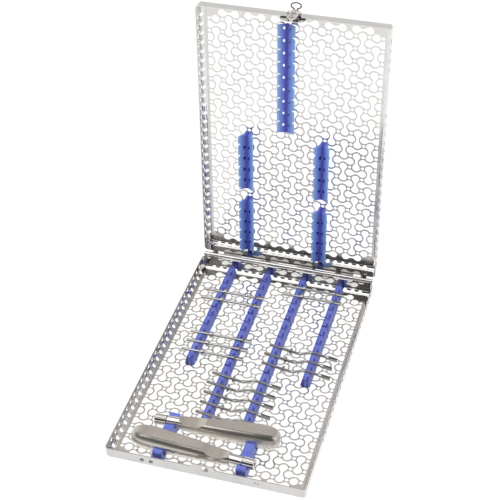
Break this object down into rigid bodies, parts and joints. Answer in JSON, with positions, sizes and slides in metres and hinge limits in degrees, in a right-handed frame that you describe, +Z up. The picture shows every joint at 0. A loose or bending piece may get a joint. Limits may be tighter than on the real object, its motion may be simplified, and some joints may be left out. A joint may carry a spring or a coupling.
{
  "type": "instrument cassette",
  "caption": "Hinged perforated steel cassette with blue silicone rails holding two tool handles and their interchangeable tips.",
  "frame": {"origin": "middle of the base tray's footprint, on the surface that it stands on", "axes": "+X to the right seen from the latch side, +Y from the latch side to the hinge, +Z up"},
  "size_m": [0.184, 0.3131, 0.3035],
  "materials": {
    "tray_steel": "polished stainless sheet",
    "fitting_steel": "polished stainless",
    "silicone": "satin blue silicone",
    "handle_steel": "satin blasted stainless",
    "turned_steel": "polished turned stainless",
    "tip_steel": "polished hardened steel"
  },
  "bodies": {
    "base": {"base_floor": "tray_steel", "base_hinge_leaf": "fitting_steel", "base_rail_a_middle": "silicone", "base_rail_a_rear": "silicone", "base_rail_b_front": "silicone", "base_rail_b_middle": "silicone", "base_rail_b_rear": "silicone", "base_rail_c_front": "silicone", "base_rail_c_middle": "silicone", "base_rail_c_rear": "silicone", "base_rail_d_middle": "silicone", "base_rail_d_rear": "silicone", "base_wall_front": "tray_steel", "base_wall_left": "tray_steel", "base_wall_rear": "tray_steel", "base_wall_right": "tray_steel", "handle_cradle_left": "silicone", "handle_cradle_right": "silicone", "hinge_pin": "fitting_steel"},
    "lid": {"lid_hinge_leaf": "fitting_steel", "lid_panel": "tray_steel", "lid_rail_a_middle": "silicone", "lid_rail_a_rear": "silicone", "lid_rail_b_front": "silicone", "lid_rail_c_middle": "silicone", "lid_rail_c_rear": "silicone", "lid_wall_front": "tray_steel", "lid_wall_left": "tray_steel", "lid_wall_rear": "tray_steel", "lid_wall_right": "tray_steel", "latch_bracket": "fitting_steel", "latch_pin": "fitting_steel", "latch_spring": "fitting_steel"},
    "latch": {"latch_lever": "fitting_steel"},
    "handle_upper": {"handle_upper_body": "handle_steel", "handle_upper_collar": "turned_steel", "handle_upper_ball": "turned_steel"},
    "ring_upper": {"handle_upper_ring": "turned_steel"},
    "handle_lower": {"handle_lower_body": "handle_steel", "handle_lower_collar": "turned_steel", "handle_lower_ball": "turned_steel"},
    "ring_lower": {"handle_lower_ring": "turned_steel"},
    "tip_08": {"tip_curved_08": "tip_steel"},
    "tip_09": {"tip_curved_09": "tip_steel"},
    "tip_10": {"tip_curved_10": "tip_steel"},
    "tip_11": {"tip_curved_11": "tip_steel"},
    "tip_12": {"tip_curved_12": "tip_steel"},
    "tip_13": {"tip_curved_13": "tip_steel"},
    "tip_14": {"tip_curved_14": "tip_steel"},
    "tip_15": {"tip_curved_15": "tip_steel"},
    "tip_01": {"tip_straight_01": "tip_steel"},
    "tip_02": {"tip_straight_02": "tip_steel"},
    "tip_03": {"tip_straight_03": "tip_steel"},
    "tip_04": {"tip_straight_04": "tip_steel"},
    "tip_05": {"tip_straight_05": "tip_steel"},
    "tip_06": {"tip_straight_06": "tip_steel"},
    "tip_07": {"tip_straight_07": "tip_steel"}
  },
  "joints": [
    {"name": "lid_hinge", "type": "hinge", "parent": "base", "child": "lid", "pos_m": [0, 0.1416, 0.0151], "axis": [-1, 0, 0], "range_deg": [-93, 0]},
    {"name": "latch_press", "type": "hinge", "parent": "lid", "child": "latch", "pos_m": [0, 0.16457, 0.29678], "axis": [-1, 0, 0], "range_deg": [0, 10], "stiffness_Nm_per_rad": 0.02, "springref_deg": -11.46, "deforming": ["latch_spring"]},
    {"name": "handle_upper_lift", "type": "slide", "parent": "base", "child": "handle_upper", "axis": [0, 0, 1], "range_m": [0, 0.06]},
    {"name": "ring_upper_turn", "type": "hinge", "parent": "handle_upper", "child": "ring_upper", "pos_m": [-0.0538, -0.09424, 0.0144], "axis": [-0.9991, -0.0421, 0], "range_deg": [0, 90]},
    {"name": "handle_lower_lift", "type": "slide", "parent": "base", "child": "handle_lower", "axis": [0, 0, 1], "range_m": [0, 0.06]},
    {"name": "ring_lower_turn", "type": "hinge", "parent": "handle_lower", "child": "ring_lower", "pos_m": [0.03609, -0.12335, 0.0144], "axis": [0.9981, -0.0623, 0], "range_deg": [0, 90]},
    {"name": "tip_08_lift", "type": "slide", "parent": "base", "child": "tip_08", "axis": [0, 0, 1], "range_m": [0, 0.05]},
    {"name": "tip_09_lift", "type": "slide", "parent": "base", "child": "tip_09", "axis": [0, 0, 1], "range_m": [0, 0.05]},
    {"name": "tip_10_lift", "type": "slide", "parent": "base", "child": "tip_10", "axis": [0, 0, 1], "range_m": [0, 0.05]},
    {"name": "tip_11_lift", "type": "slide", "parent": "base", "child": "tip_11", "axis": [0, 0, 1], "range_m": [0, 0.05]},
    {"name": "tip_12_lift", "type": "slide", "parent": "base", "child": "tip_12", "axis": [0, 0, 1], "range_m": [0, 0.05]},
    {"name": "tip_13_lift", "type": "slide", "parent": "base", "child": "tip_13", "axis": [0, 0, 1], "range_m": [0, 0.05]},
    {"name": "tip_14_lift", "type": "slide", "parent": "base", "child": "tip_14", "axis": [0, 0, 1], "range_m": [0, 0.05]},
    {"name": "tip_15_lift", "type": "slide", "parent": "base", "child": "tip_15", "axis": [0, 0, 1], "range_m": [0, 0.05]},
    {"name": "tip_01_lift", "type": "slide", "parent": "base", "child": "tip_01", "axis": [0, 0, 1], "range_m": [0, 0.05]},
    {"name": "tip_02_lift", "type": "slide", "parent": "base", "child": "tip_02", "axis": [0, 0, 1], "range_m": [0, 0.05]},
    {"name": "tip_03_lift", "type": "slide", "parent": "base", "child": "tip_03", "axis": [0, 0, 1], "range_m": [0, 0.05]},
    {"name": "tip_04_lift", "type": "slide", "parent": "base", "child": "tip_04", "axis": [0, 0, 1], "range_m": [0, 0.05]},
    {"name": "tip_05_lift", "type": "slide", "parent": "base", "child": "tip_05", "axis": [0, 0, 1], "range_m": [0, 0.05]},
    {"name": "tip_06_lift", "type": "slide", "parent": "base", "child": "tip_06", "axis": [0, 0, 1], "range_m": [0, 0.05]},
    {"name": "tip_07_lift", "type": "slide", "parent": "base", "child": "tip_07", "axis": [0, 0, 1], "range_m": [0, 0.05]}
  ]
}
